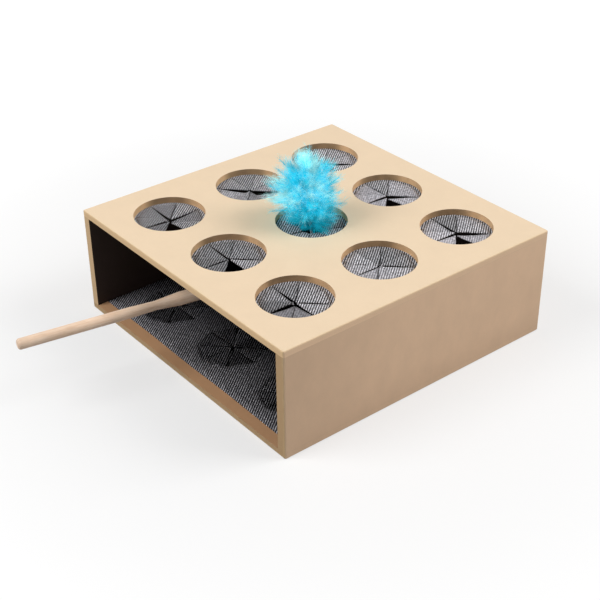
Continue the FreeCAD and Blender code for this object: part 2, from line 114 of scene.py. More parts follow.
# %% [markdown]
# ## Words for node trees
#
# Materials and Geometry Nodes are both trees, so one class serves both. Most of its words add
# a node and return what comes out of it, and an input takes a plain value or another node's
# output. The rest of the file then reads like a recipe: times(rim, outer) or
# ramp(level, low, high).


# %% Make a class for node trees
class Tree:
    """A node tree. Its words add nodes, and most return the new node's first output."""

    def __init__(self, data):
        self.data = data

    def node(self, kind, inputs=(), **settings):
        """Adds a node. An input's value is a constant or the output of another node."""
        made = self.data.nodes.new(kind)
        for name, value in settings.items():
            setattr(made, name, value)
        for name, value in dict(inputs).items():
            if isinstance(value, bpy.types.NodeSocket):
                self.data.links.new(value, made.inputs[name])
            else:
                made.inputs[name].default_value = value
        return made

    def first(self, kind, inputs=(), **settings):
        return self.node(kind, inputs, **settings).outputs[0]

    def feed(self, made, **outputs):
        """Links outputs to a node's inputs. An underscore in a name stands for a space."""
        for title, output in outputs.items():
            self.data.links.new(output, made.inputs[title.replace("_", " ")])

    def sums(self, operation, *terms):
        return self.first("ShaderNodeMath", dict(enumerate(terms)), operation=operation)

    def chain(self, operation, value, *terms):
        """A row of Math nodes. Each takes in one more term."""
        for term in terms:
            value = self.sums(operation, value, term)
        return value

    times = partialmethod(chain, "MULTIPLY")
    plus = partialmethod(chain, "ADD")
    minus = partialmethod(chain, "SUBTRACT")
    least = partialmethod(chain, "MINIMUM")
    most = partialmethod(chain, "MAXIMUM")

    def ramp(self, value, low, high, first=0.0, last=1.0):
        """A smooth step: from first, where value is low, to last, where it is high."""
        inputs = {"Value": value, "From Min": low, "From Max": high, "To Min": first, "To Max": last}
        return self.first("ShaderNodeMapRange", inputs, interpolation_type="SMOOTHSTEP")

    def fall(self, value, low, high):
        """1 where value is low, and 0 where it is high."""
        return self.ramp(value, low, high, 1.0, 0.0)

    def vectors(self, operation, *terms, out=0):
        """A Vector Math node. Its second output is a number, such as a length."""
        made = self.node("ShaderNodeVectorMath", dict(enumerate(terms)), operation=operation)
        return made.outputs[out]

    def scaled(self, vector, factor):
        """A vector or a colour, times a number."""
        return self.first("ShaderNodeVectorMath", {0: vector, "Scale": factor}, operation="SCALE")

    def vector(self, x=0.0, y=0.0, z=0.0):
        return self.first("ShaderNodeCombineXYZ", {0: x, 1: y, 2: z})

    def parts(self, vector):
        """The three numbers of a vector or a colour."""
        return self.node("ShaderNodeSeparateXYZ", {0: vector}).outputs[:]

    def mix(self, share, first, last):
        """A blend of two colours."""
        made = self.node("ShaderNodeMix", {0: share, 6: first, 7: last}, data_type="RGBA")
        return made.outputs[2]

    def noise(self, place, scale, detail, out="Fac", **more):
        inputs = {"Vector": place, "Scale": scale, "Detail": detail, **more}
        return self.node("ShaderNodeTexNoise", inputs).outputs[out]

    def place(self):
        """Where a point of a surface lies, in the object's own metres."""
        return self.node("ShaderNodeTexCoord").outputs["Object"]

    def attribute(self, title):
        """A number that the mesh carries at each of its points."""
        return self.node("ShaderNodeAttribute", attribute_name=title).outputs["Fac"]

    def bump(self, shader, height, strength, depth):
        """Feeds a height to a shader's normal. The depth is in metres."""
        inputs = {"Height": height, "Strength": strength, "Distance": depth}
        self.feed(shader, Normal=self.first("ShaderNodeBump", inputs))

    def noted(self, geometry, title, value, domain="POINT", data_type="FLOAT"):
        """Stores a number on a geometry under a name, for the material to read."""
        return self.first("GeometryNodeStoreNamedAttribute", {
            "Geometry": geometry, "Name": title, "Value": value}, data_type=data_type,
            domain=domain)

    def joined(self, *pieces):
        made = self.node("GeometryNodeJoinGeometry")
        for piece in pieces:
            self.data.links.new(piece, made.inputs[0])
        return made.outputs[0]

    def real(self, geometry):
        """Turns the copies in a geometry into a mesh of their own."""
        return self.first("GeometryNodeRealizeInstances", {"Geometry": geometry})

    def end(self, geometry, finish, out):
        """Ends a Geometry Nodes tree with a real mesh in its material."""
        self.feed(out, Geometry=self.first("GeometryNodeSetMaterial", {
            "Geometry": self.real(geometry), "Material": finish}))
        return self.data


print("a tree's words:", *(word for word in vars(Tree) if word[0] != "_"))


# %% Start groups and materials
def group(name, kind, inputs, outputs):
    """Starts a node group. The names of its sockets are listed by their type."""
    data = bpy.data.node_groups.new(name, kind)
    for way, sockets in (("INPUT", inputs), ("OUTPUT", outputs)):
        for socket_type, titles in sockets.items():
            for title in titles:
                data.interface.new_socket(
                    name=title, in_out=way, socket_type="NodeSocket" + socket_type
                )
    return Tree(data), data.nodes.new("NodeGroupInput").outputs, data.nodes.new("NodeGroupOutput")


def paint(red, green, blue):
    """A colour as it is seen on a screen, turned into the linear one that nodes use."""
    def straight(level):
        level /= 255.0
        return level / 12.92 if level <= 0.04045 else ((level + 0.055) / 1.055) ** 2.4
    return (straight(red), straight(green), straight(blue), 1.0)


def new_material(name, **uniform):
    """Starts a material. Values that are the same all over go on the shader's own sockets."""
    made = bpy.data.materials.new(name)
    made.use_nodes = True
    shader = made.node_tree.nodes["Principled BSDF"]
    for title, value in uniform.items():
        shader.inputs[title.replace("_", " ")].default_value = value
    return made, Tree(made.node_tree), shader


print("groups and materials can be started")

# %% [markdown]
# ## Floor and light
#
# The rims of the holes tell where the light came from: they are bright where they face the
# front and where they face the right back, and dark between, towards the camera. So two wide
# lamps stand there, one behind on the right and one in front on the left, in an even white
# world. The floor reflects less than half of the light, so that it doesn't light the sides
# too much, and adds white for the camera alone, so that the ground looks white and still
# holds the pale shadow at the open front. Far away it adds more, because the lamps fade
# there, and under the box it adds nothing.

# %% Make the floor, the world and the lamps
WHITE = (1, 1, 1, 1)
WORLD_LEVEL = 0.30
FLOOR_SHADE = 0.42
FLOOR_HALF = 4.0
FLOOR_LEVEL = -0.1 * MM
# The glow of the ground near the box and far from it, with the distances where they hold.
NEAR_GLOW, FAR_GLOW = 0.55, 0.95
NEAR_REACH, FAR_REACH = 0.2, 0.85
UNDER_BOX = (0.112, 0.1245)
LAMP_SIDE = 1.0
LAMP_AIM = Vector((0, 0, 0.04))
LAMPS = (("back", Vector((0.85, 1.01, 1.36)), 17.7), ("front", Vector((-0.46, -1.27, 1.32)), 18.5))


def seen_rays(tree):
    """1 for the rays that see the white ground or world, straight or in a shiny surface."""
    rays = tree.node("ShaderNodeLightPath").outputs
    return tree.most(rays["Is Camera Ray"], rays["Is Glossy Ray"], rays["Is Transmission Ray"])


def make_world():
    world = bpy.data.worlds.new("studio")
    scene.world = world
    world.use_nodes = True
    tree = Tree(world.node_tree)
    tree.data.nodes.clear()
    even, white = (
        tree.first("ShaderNodeBackground", {"Color": WHITE, "Strength": strength})
        for strength in (WORLD_LEVEL, 1.0)
    )
    both = tree.first("ShaderNodeMixShader", {0: seen_rays(tree), 1: even, 2: white})
    tree.node("ShaderNodeOutputWorld", {"Surface": both})


def make_floor():
    mesh = bpy.data.meshes.new("floor")
    corners = [(-FLOOR_HALF, -FLOOR_HALF), (FLOOR_HALF, -FLOOR_HALF), (FLOOR_HALF, FLOOR_HALF),
               (-FLOOR_HALF, FLOOR_HALF)]
    mesh.from_pydata([(x, y, FLOOR_LEVEL) for x, y in corners], [], [(0, 1, 2, 3)])
    finish, tree, shader = new_material(
        "floor_white", Base_Color=(FLOOR_SHADE,) * 3 + (1.0,), Roughness=0.9,
        Specular_IOR_Level=0.0,
    )
    place = tree.place()
    away = tree.vectors("LENGTH", place, out=1)
    x, y, unused = tree.parts(place)
    aside = tree.most(tree.sums("ABSOLUTE", x), tree.sums("ABSOLUTE", y))
    glow = tree.times(
        seen_rays(tree), tree.ramp(away, NEAR_REACH, FAR_REACH, NEAR_GLOW, FAR_GLOW),
        tree.ramp(aside, *UNDER_BOX))
    light = tree.first("ShaderNodeEmission", {"Color": WHITE, "Strength": glow})
    both = tree.first("ShaderNodeAddShader", {0: shader.outputs[0], 1: light})
    tree.feed(tree.data.nodes["Material Output"], Surface=both)
    mesh.materials.append(finish)
    new_object("floor", mesh)


def make_lamp(name, place, power):
    data = bpy.data.lights.new(name, "AREA")
    data.shape = "SQUARE"
    data.size = LAMP_SIDE
    data.energy = power
    turned = (LAMP_AIM - place).to_track_quat("-Z", "Y").to_matrix().to_4x4()
    new_object(name, data).matrix_world = Matrix.Translation(place) @ turned
    print(f"{name} lamp of {power} W, {place.length:.2f} m away")


make_world()
make_floor()
for lamp in LAMPS:
    make_lamp(*lamp)

# %% [markdown]
# ## The finish of the fibreboard
#
# Fibreboard has a smooth pressed skin and a darker, furry cut edge, and every board here
# shows both: the skin on its broad faces and the cut in the holes and along the rims. One
# node group makes it. It compares the surface's normal with the board's own broad direction,
# so the same group does a lying board and a standing wall. Over that come fine fibres, slow
# clouds, a few dents, scorch with painted shade on cut faces that turn to the right front,
# painted shade towards the front and the bottom, a worn rim with a painted highlight where two
# outer faces of the box meet, and a faint line of dirt and painted gap shade where a wall meets
# a board. The boards' outer edges were sanded flush with the walls and look like them. The
# inside of the walls has a near black lining. Object coordinates are the box's own metres, so
# all the patterns have their real size.

# %% Make the fibreboard group
BOX_HALF = 0.125
BOX_TOP = 0.088
SEAM_LEVELS = (0.005, 0.083)
# How far from an outer face, a rim or a seam their look fades, from full to none.
FACE_FADE = (0.4 * MM, 1.2 * MM)
RIM_FADE = (0.2 * MM, 3.2 * MM)
SEAM_FADE = (0.08 * MM, 0.45 * MM)
# Cut faces that turn this way are painted in shade.
SHADED_WAY = (0.88, -0.47, 0.0)
DENT_FLOOR = paint(240, 222, 198)
# The rim colour is wear and a painted highlight on the rounded edge.
WORN_RIM_HIGHLIGHT = paint(236, 212, 168)
# The joint line is dirt and painted gap shade.
SEAM_DIRT_AND_SHADE = paint(96, 70, 48)


def make_fibreboard_group():
    tree, given, out = group(
        "fibreboard", "ShaderNodeTree",
        {"Color": ("Skin", "Cut", "Front", "Side", "Lining"),
         "Vector": ("Broad Way", "Lined Way", "Streak"), "Float": ("Clouds", "Grime")},
        {"Color": ("Colour",), "Float": ("Roughness", "Height")},
    )
    where = tree.node("ShaderNodeTexCoord").outputs
    place, normal = where["Object"], where["Normal"]
    broad = tree.sums("ABSOLUTE", tree.vectors("DOT_PRODUCT", normal, given["Broad Way"], out=1))
    skin_share = tree.ramp(broad, 0.55, 0.95)
    fibres = tree.noise(place, 1400.0, 3.0, Roughness=0.7)
    clouds = tree.noise(
        tree.vectors("MULTIPLY", place, given["Streak"]), 48.0, 5.0, Roughness=0.66)
    # The cutter has scorched the holes in places, and cut faces that turn to the right front are
    # painted in shade, down to half as bright.
    shaded_facing = tree.vectors("DOT_PRODUCT", normal, SHADED_WAY, out=1)
    scorch_and_shade = tree.times(tree.ramp(tree.noise(place, 60.0, 3.0), 0.35, 0.65, 0.72, 1.0),
                        tree.ramp(shaded_facing, 0.7, 0.93, 1.0, 0.5))
    base = tree.mix(skin_share, tree.scaled(given["Cut"], scorch_and_shade), given["Skin"])

    # Three distances to the box's outer faces. The boards' outer edges look like the walls.
    x, y, z = tree.parts(place)
    aside = [tree.minus(BOX_HALF, tree.sums("ABSOLUTE", part)) for part in (x, y)]
    aside.append(tree.least(z, tree.minus(BOX_TOP, z)))
    facing_x, facing_y, facing_z = tree.parts(normal)
    border = tree.fall(tree.least(*aside[:2]), *FACE_FADE)
    # Front faces near the outer border take the board's front rim colour, which is painted shade on
    # some boards.
    forward = tree.fall(facing_y, -0.9, -0.5)
    base = tree.mix(tree.times(forward, border), base, given["Front"])
    sideways = tree.ramp(tree.most(tree.sums("ABSOLUTE", facing_x), facing_y), 0.5, 0.9)
    base = tree.mix(tree.times(sideways, border), base, given["Side"])

    # Speckle is stronger on the cut edge, where the bundles of fibre show.
    depth = tree.ramp(skin_share, 0.0, 1.0, 0.30, 0.05)
    speckle = tree.times(tree.minus(fibres, 0.5), depth)
    drift = tree.times(tree.minus(clouds, 0.5), given["Clouds"], 2.0)
    base = tree.scaled(base, tree.plus(1.0, speckle, drift))

    # Painted shade: darker towards the front and the bottom of the box.
    unshaded = tree.times(tree.ramp(y, -0.130, -0.01), tree.ramp(z, 0.0, 0.03, 0.55, 1.0))
    front_low_shade = tree.times(given["Grime"], tree.minus(1.0, unshaded))
    base = tree.scaled(base, tree.minus(1.0, front_low_shade))

    # A few small dents: one in seven cells of a Voronoi texture has one, with a pale floor.
    cells = tree.node("ShaderNodeTexVoronoi", {"Vector": place, "Scale": 90.0}).outputs
    rare = tree.ramp(tree.parts(cells["Color"])[0], 0.84, 0.87)
    dent = tree.times(tree.fall(cells["Distance"], 0.03, 0.085), rare)
    base = tree.mix(tree.times(dent, given["Clouds"], 4.0), base, DENT_FLOOR)

    # The middle one of the three distances is the distance to a rim.
    least, most = tree.least(*aside), tree.most(*aside)
    middle = tree.minus(tree.plus(*aside), least, most)
    # Where two outer faces meet the rim is paler: wear and a painted highlight on its rounded edge.
    rough_rim = tree.times(tree.minus(clouds, 0.35), 5.0 * MM)
    rim_wear_and_highlight = tree.fall(tree.plus(middle, rough_rim), *RIM_FADE)
    outer = tree.fall(least, *FACE_FADE)
    base = tree.mix(tree.times(rim_wear_and_highlight, outer, 0.35), base, WORN_RIM_HIGHLIGHT)

    # A dark line along each joint of a wall and a board, on upright faces only: dirt and painted
    # shade of the gap.
    upright = tree.fall(tree.sums("ABSOLUTE", facing_z), 0.3, 0.6)
    lines = [tree.fall(tree.sums("ABSOLUTE", tree.minus(z, seam)), *SEAM_FADE)
             for seam in SEAM_LEVELS]
    base = tree.mix(tree.times(tree.plus(*lines), upright, outer, 0.05), base, SEAM_DIRT_AND_SHADE)

    lined = tree.ramp(tree.vectors("DOT_PRODUCT", normal, given["Lined Way"], out=1), 0.5, 0.9)
    tree.feed(
        out, Colour=tree.mix(lined, base, given["Lining"]),
        Roughness=tree.ramp(fibres, 0.3, 0.7, 0.55, 0.72),
        Height=tree.minus(tree.times(fibres, depth), tree.times(dent, 0.5)),
    )
    return tree.data


fibreboard = make_fibreboard_group()
print(f"fibreboard group with {len(fibreboard.nodes)} nodes")

# %% [markdown]
# ## Boards and walls
#
# Each board gets its own material from that group, because each lies another way. The top
# skin is the palest. The walls are a browner sheet, with blotches and faint upright streaks,
# and the bottom board shows its cut front rim and the strip of floor in front of the cloth.
# The front rims of the right wall, the back wall and the bottom board are painted in shade.

# %% Give the boards and walls their finish
TOP_SKIN = paint(240, 215, 183)
WALL_SKIN = paint(238, 202, 168)
BOTTOM_SKIN = paint(212, 164, 122)
HOLE_CUT = paint(240, 196, 148)
PALE_FRONT = paint(222, 188, 144)
# The front rims of the right wall, the back wall and the bottom board are painted in shade.
SHADED_FRONT = paint(196, 162, 120)
TOP_SIDE = paint(240, 205, 170)
LINING = paint(42, 29, 23)
STREAKED = (1.0, 1.0, 0.7)
PLAIN = (1.0, 1.0, 1.0)
NO_WAY = (0, 0, 0)
# Board: skin, front rim (painted in shade on some), outer side, broad way, lined way, streak,
# clouds and painted shade towards the front and the bottom.
BOARDS = {
    "top_panel": (TOP_SKIN, PALE_FRONT, TOP_SIDE, (0, 0, 1), NO_WAY, PLAIN, 0.05, 0.0),
    "bottom_panel": (BOTTOM_SKIN, SHADED_FRONT, WALL_SKIN, (0, 0, 1), NO_WAY, PLAIN, 0.12, 0.16),
    "left_wall": (WALL_SKIN, PALE_FRONT, WALL_SKIN, (1, 0, 0), (1, 0, 0), STREAKED, 0.1, 0.16),
    "right_wall": (WALL_SKIN, SHADED_FRONT, WALL_SKIN, (1, 0, 0), (-1, 0, 0), STREAKED, 0.1, 0.16),
    "back_wall": (WALL_SKIN, SHADED_FRONT, WALL_SKIN, (0, 1, 0), (0, -1, 0), STREAKED, 0.1, 0.16),
}
BOARD_INPUTS = ("Skin", "Front", "Side", "Broad Way", "Lined Way", "Streak", "Clouds", "Grime")


def board_material(name, values):
    finish, tree, shader = new_material(name, Specular_IOR_Level=0.35)
    inputs = dict(zip(BOARD_INPUTS, values), Cut=HOLE_CUT, Lining=LINING)
    made = tree.node("ShaderNodeGroup", inputs, node_tree=fibreboard).outputs
    tree.feed(shader, Base_Color=made["Colour"], Roughness=made["Roughness"])
    tree.bump(shader, made["Height"], 0.3, 0.4 * MM)
    return finish


def wear(name, finish):
    """Puts a finish on every material slot of a carried-over node."""
    node = nodes[name]
    if not node.material_slots:
        node.data.materials.append(finish)
    for slot in node.material_slots:
        slot.material = finish


for name, values in BOARDS.items():
    wear(name, board_material(f"fibreboard_{name}", values))
print(len(BOARDS), "boards finished")

# %% [markdown]
# ## The net cloth
#
# The cloth is a black knitted net with raised ribs that catch the light: in the holes it
# looks striped, and where a flap tilts towards the lamp the ribs merge into a plain grey
# sheen, which is a painted sheen in the colour. The pattern reads the cloth's own flat
# coordinates, stored as a UV map in metres, so every star's ribs run the same way across the
# whole sheet and bend with each flap. Two attributes of the mesh hold each flap's painted
# sheen and its brightness, which is painted shade; on the floor that painted shade grows
# towards the back. The cloth on the floor lies with its other face up, where only the tops of
# the loops are pale.

# %% Make the net material
RIB_ANGLE = -51.5 * DEGREE
RIB_STEP = 1.76 * MM
LOOP_STEP = 1.3 * MM
RIB_WOBBLE = 0.35 * MM


def make_net(name, rib_low, rib_high, loop_high, loop_least, sheen, gloss):
    """A net. A rib shows where its wave is over rib_low; its loops break it into beads."""
    finish, tree, shader = new_material(
        name, Specular_IOR_Level=gloss, Sheen_Weight=sheen, Sheen_Roughness=0.5)

    def wave(phase):
        """A wave between 0 and 1."""
        return tree.sums("MULTIPLY_ADD", tree.sums("SINE", phase), 0.5, 0.5)

    flat = tree.first("ShaderNodeUVMap", uv_map="weave")
    turned = tree.first("ShaderNodeMapping", {"Vector": flat, "Rotation": (0, 0, -RIB_ANGLE)})
    along, across, unused = tree.parts(turned)
    bent = tree.sums("MULTIPLY_ADD", tree.noise(flat, 260.0, 1.0), RIB_WOBBLE, across)
    rib_phase = tree.times(bent, 2 * math.pi / RIB_STEP)
    loop_phase = tree.times(along, 2 * math.pi / LOOP_STEP)
    rib = tree.ramp(wave(rib_phase), rib_low, rib_high)
    loop = wave(tree.plus(loop_phase, tree.times(rib_phase, 0.5)))
    thread = tree.times(rib, tree.ramp(loop, 0.0, loop_high, loop_least, 1.0))
    # Painted sheen turns a flap's gaps and threads plain grey, and the second attribute is its
    # brightness with painted shade.
    plain, tone = tree.attribute("plain"), tree.attribute("tone")
    gap_colour = tree.mix(plain, paint(9, 9, 11), paint(160, 157, 163))
    thread_colour = tree.mix(plain, paint(234, 232, 238), paint(184, 180, 186))
    level = tree.times(tone, tree.ramp(tree.noise(flat, 460.0, 3.0), 0.35, 0.65, 0.6, 1.3))
    colour = tree.scaled(tree.mix(thread, gap_colour, thread_colour), level)
    tree.feed(shader, Base_Color=colour, Roughness=tree.ramp(thread, 0.0, 1.0, 0.85, 0.55))
    tree.bump(shader, thread, 0.35, 0.25 * MM)
    return finish


net = make_net("net_cloth", 0.46, 0.66, 0.6, 0.5, 0.2, 0.2)
floor_net = make_net("net_cloth_floor", 0.74, 0.93, 0.85, 0.1, 0.0, 0.02)
print("nets with ribs every", RIB_STEP, "m")

# %% [markdown]
# ## One flap of a star, as a rule
#
# A flap is an eighth of a star: wide at its fold, pointed at the middle. It could be drawn
# once and copied, but no two hang alike, so a Geometry Nodes tree makes it from numbers. A
# small grid is narrowed towards its tip, then rolled onto an arc: its slope starts at the
# fold angle and changes steadily by the curl. Because an arc keeps its length, the flap is
# still the size it was cut to. The flat place of every corner is stored first, as the UV map.

# %% Make the flap tree
FLAP_GRID = {"Size X": 1.0, "Size Y": 1.0, "Vertices X": 7, "Vertices Y": 13}


def make_flap_tree():
    tree, given, out = group(
        "flap", "GeometryNodeTree",
        {"Geometry": ("Geometry",), "Vector": ("Centre",), "Material": ("Finish",),
         "Float": ("Root Width", "Tip Width", "Length", "Fold Distance", "Fold", "Curl", "Cup",
                   "Heading", "Plain", "Tone")},
        {"Geometry": ("Geometry",)},
    )
    grid = tree.first("GeometryNodeMeshGrid", FLAP_GRID)
    x, y, unused = tree.parts(tree.first("GeometryNodeInputPosition"))
    reach = tree.plus(y, 0.5)
    narrowing = tree.minus(given["Tip Width"], given["Root Width"])
    width = tree.sums("MULTIPLY_ADD", reach, narrowing, given["Root Width"])
    across = tree.times(x, width)
    turn = tree.plus(given["Heading"], math.pi / 2)

    def set_down(along, lift):
        """Turns a point of the flap to its heading and moves it to its star."""
        point = tree.vector(across, tree.minus(along, given["Fold Distance"]), lift)
        turned = tree.first("ShaderNodeVectorRotate", {"Vector": point, "Angle": turn},
                            rotation_type="Z_AXIS")
        return tree.vectors("ADD", turned, given["Centre"])

    flat = set_down(tree.times(reach, given["Length"]), 0.0)
    mapped = tree.noted(grid, "weave", flat, "CORNER", "FLOAT2")

    slope = tree.sums("MULTIPLY_ADD", reach, given["Curl"], given["Fold"])
    radius = tree.sums("DIVIDE", given["Length"], given["Curl"])
    ahead = tree.minus(tree.sums("SINE", slope), tree.sums("SINE", given["Fold"]))
    over = tree.minus(tree.sums("COSINE", given["Fold"]), tree.sums("COSINE", slope))
    hollow = tree.times(x, x, given["Cup"], reach)
    lift = tree.sums("MULTIPLY_ADD", over, radius, hollow)
    bent = set_down(tree.times(ahead, radius), lift)
    moved = tree.first("GeometryNodeSetPosition", {"Geometry": mapped, "Position": bent})
    # Each flap carries its painted sheen and its brightness with painted shade.
    for title in ("Plain", "Tone"):
        moved = tree.noted(moved, title.lower(), given[title])
    return tree.end(moved, given["Finish"], out)


def plain_mesh(piece, name):
    """The mesh that an object's modifiers make, as a mesh of its own."""
    ready = piece.evaluated_get(bpy.context.evaluated_depsgraph_get())
    mesh = bpy.data.meshes.new_from_object(ready)
    mesh.name = name
    return mesh


def grow(tree, name, start=None, **values):
    """Runs a Geometry Nodes tree on a mesh and returns the plain mesh that it makes."""
    seed = new_object("seed", start or bpy.data.meshes.new("seed"))
    modifier = seed.modifiers.new("tree", "NODES")
    modifier.node_group = tree
    for item in tree.interface.items_tree:
        key = item.name.replace(" ", "_")
        if item.in_out == "INPUT" and key in values:
            modifier[item.identifier] = values.pop(key)
    if values:
        raise ValueError(f"{name}: the tree has no input {sorted(values)}")
    mesh = plain_mesh(seed, name)
    bpy.data.objects.remove(seed)
    return mesh


flap_tree = make_flap_tree()
print(f"flap tree with {len(flap_tree.nodes)} nodes")

# %% [markdown]
# ## How each flap hangs
#
# The photograph shows each flap of the nine stars a little differently: some lie almost flat
# and striped, some catch the light as plain grey, and at least one in most stars hangs far
# enough to leave a black wedge. The tables below hold, for flap one to eight counter-clockwise
# from the right, the fold angle and the curl after the fold in degrees, then the painted sheen
# that makes the flap plain grey and its brightness, which is painted shade. A flap with its own
# hinge has the fold angle of its solid.

# %% Write down how the flaps hang
PITCH = 0.077
FOLD_DISTANCE = 0.024353
FLAP_TIP = 1.2 * MM
SLIT = 0.4 * MM
STEP = 45.0 * DEGREE
CLOTH_MIDDLE = 0.0827
FLOOR_MIDDLE = 0.0053
CLOTH_THICK = 0.5 * MM
# Towards its tip, an odd flap's sides hang below its middle and an even flap's stand above.
ODD_CUP, EVEN_CUP = -2.0 * MM, 1.2 * MM

# Star: column, row, fold angles, curls, painted sheen, brightness with painted shade.
FOLDING = {
    "left_front": (-1, -1, (-3, -12, -2, 2, -2, 2, -2, -22),
                   (-6, 12, 4, -3, -5, -6, -3, -6),
                   (.1, .35, .05, .75, .1, .1, .3, .4), (.7, .5, .8, .45, .6, .6, .4, .4)),
    "left_middle": (-1, 0, (-14, -3, 2, -2, 2, -12, -3, -8),
                    (6, 3, -4, 3, -4, 8, 4, 8),
                    (.8, .4, .05, 0, .1, .6, .7, .6), (.7, .8, .9, .7, .8, 1, .7, .5)),
    "left_back": (-1, 1, (-10, -2, 2, -2, -2, 2, -3, -12),
                  (12, 3, -4, 3, -3, -4, 3, 4),
                  (.1, .5, .1, 0, 0, 0, .1, .4), (1.3, 1, 1, 1.3, 1.1, 1.1, 1, .8)),
    "right_front": (1, -1, (-3, 2, -2, 2, -2, 3, -9, -12),
                    (5, -5, 4, -3, -4, -6, 6, 10),
                    (.1, 0, 0, 0, .1, .1, .85, .9), (1, 1, .9, .6, .7, .4, .5, .5)),
    "right_middle": (1, 0, (-2, 2, -2, -2, 2, -2, -3, 2),
                     (3, -4, -3, 3, -3, 3, 2, -3),
                     (.25, 0, 0, .05, .1, .35, .7, .45), (1.2, .7, .6, .7, 1.1, 1.1, 1, 1.1)),
    "right_back": (1, 1, (-9, 2, -2, 2, -2, -2, -3, -18),
                   (6, -4, 3, -4, -4, 3, -4, -40),
                   (.7, .1, .25, 0, .35, .4, .85, .8), (1.1, 1.1, 1, .6, 1, 1.3, 1.2, 1.1)),
}
# The middle column's stars stay part of their sheet.
WHOLE = {
    "middle_front": (0, -1, (-2, 2, -1, 1, -2, 1, -3, -40),
                     (3, -4, 2, -3, -3, -4, 3, -45),
                     (.1, .05, 0, 0, .1, .1, .2, .5), (.9, .6, .6, .5, .5, .4, .4, .4)),
    "middle_middle": (0, 0, (-4, -5, -4, -3, -4, -2, -3, -3),
                      (-16, -18, -14, -12, -8, -6, -6, -8),
                      (.1, .1, .1, .1, .1, .1, .1, .1), (.9, .5, .7, .9, 1, .8, .8, .7)),
    "middle_back": (0, 1, (-3, 2, -2, 1, -2, 2, -2, -38),
                    (-6, -4, 3, -3, 4, -4, -3, -50),
                    (.75, .8, .55, .1, .95, .95, .9, .7), (1.3, 1, 1.1, .8, .9, 1.1, 1.1, .6)),
}


def side_width(distance):
    """The width of a flap at a distance from the middle of its star."""
    return 2 * (distance * math.tan(STEP / 2) - SLIT / 2 / math.cos(STEP / 2))


def flap_mesh(place, number, hang, middle, tip=FLAP_TIP, start=FOLD_DISTANCE):
    """One flap of a star, as cut, folded and curled. An arc needs a curl of a degree or more."""
    fold, curl, plain, tone = hang
    curl = curl if abs(curl) >= 1 else 1
    return grow(
        flap_tree, "flap", Root_Width=side_width(start), Tip_Width=side_width(tip),
        Length=start - tip, Fold_Distance=start, Fold=fold * DEGREE, Curl=curl * DEGREE,
        Cup=ODD_CUP if number % 2 else EVEN_CUP, Heading=(number - 0.5) * STEP,
        Centre=(*place, middle), Plain=plain, Tone=tone, Finish=net,
    )


def flaps_of(star):
    """The place of a star in a table, and its numbered flaps with how each hangs."""
    column, row, *rows = star
    return (column * PITCH, row * PITCH), enumerate(zip(*rows), start=1)


print(f"a flap is {side_width(FOLD_DISTANCE) / MM:.1f} mm at its fold")

# %% [markdown]
# ## From mesh to piece
#
# Every cloth piece ends the same way: its mesh gets a thickness, the piece rides on its body,
# hides the node of the frame that it stands for, and gives back the area it was cut to. The
# area of the cut comes from the flat coordinates, which folding doesn't change.


# %% Helpers for the pieces
def cut_area(mesh):
    """The area that a cloth had before it was folded, from its flat coordinates."""
    flat = mesh.uv_layers["weave"].data
    total = 0.0
    for face in mesh.polygons:
        corners = [flat[n].uv for n in face.loop_indices]
        following = corners[1:] + corners[:1]
        total += abs(sum(a.x * b.y - b.x * a.y for a, b in zip(corners, following))) / 2
    return total


def make_cloth(mesh, body, node):
    """Makes a mesh a cloth piece with a thickness, on its body. Returns the area of its cut."""
    piece = new_object(mesh.name, mesh)
    area = cut_area(mesh)
    solid = piece.modifiers.new("thickness", "SOLIDIFY")
    solid.thickness = CLOTH_THICK
    solid.offset = 0.0
    piece.data = plain_mesh(piece, piece.name)
    piece.modifiers.clear()
    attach(piece, body)
    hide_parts(node)
    return area


def join_meshes(name, meshes, finish=net):
    """One mesh from several, with their flat coordinates, painted sheen and painted shade."""
    places, faces, flat = [], [], []
    values = {"plain": [], "tone": []}
    for mesh in meshes:
        first = len(places)
        places.extend(vertex.co.copy() for vertex in mesh.vertices)
        faces.extend([first + n for n in face.vertices] for face in mesh.polygons)
        weave = mesh.uv_layers["weave"].data
        flat.extend(weave[n].uv.copy() for face in mesh.polygons for n in face.loop_indices)
        for title, held in values.items():
            held.extend(item.value for item in mesh.attributes[title].data)
        bpy.data.meshes.remove(mesh)
    made = bpy.data.meshes.new(name)
    made.from_pydata(places, [], faces)
    weave = made.uv_layers.new(name="weave").data
    for item, place in zip(weave, flat):
        item.uv = place
    for title, held in values.items():
        made.attributes.new(title, "FLOAT", "POINT").data.foreach_set("value", held)
    made.materials.append(finish)
    made.polygons.foreach_set("use_smooth", [True] * len(made.polygons))
    return made


print("cloth helpers ready")

# %% [markdown]
# ## The two sheets
#
# Each sheet is one rectangle of net with nine eight-sided windows, one under or over every
# hole. A triangulation with the windows' outlines as fixed edges makes it: points go on a
# loose grid, on the outer edge and around the windows, and the triangles inside a window are
# left out. The bottom sheet was laid by hand and has low wrinkles, the top one hangs a hair
# below its board. The stars that have no hinges of their own are set into the sheets' windows.

# %% Make a sheet with windows
SHEET_X = 0.1165
SHEET_FRONT = -0.116
SHEET_BACK = 0.1165
WINDOW = FOLD_DISTANCE + 0.08 * MM
SET_IN = WINDOW + 0.1 * MM
GRID_STEP = 5.0 * MM
OUTER_PARTS = 46
WINDOW_PARTS = 4
WINDOW_CLEARANCE = 1.5 * MM
# How much painted sheen the sheets have.
SHEET_PAINTED_SHEEN = 0.1
CENTRES = [(i * PITCH, j * PITCH) for i in (-1, 0, 1) for j in (-1, 0, 1)]


def window_corners(centre):
    reach = WINDOW / math.cos(STEP / 2)
    return [
        (centre[0] + reach * math.cos(n * STEP), centre[1] + reach * math.sin(n * STEP))
        for n in range(8)
    ]


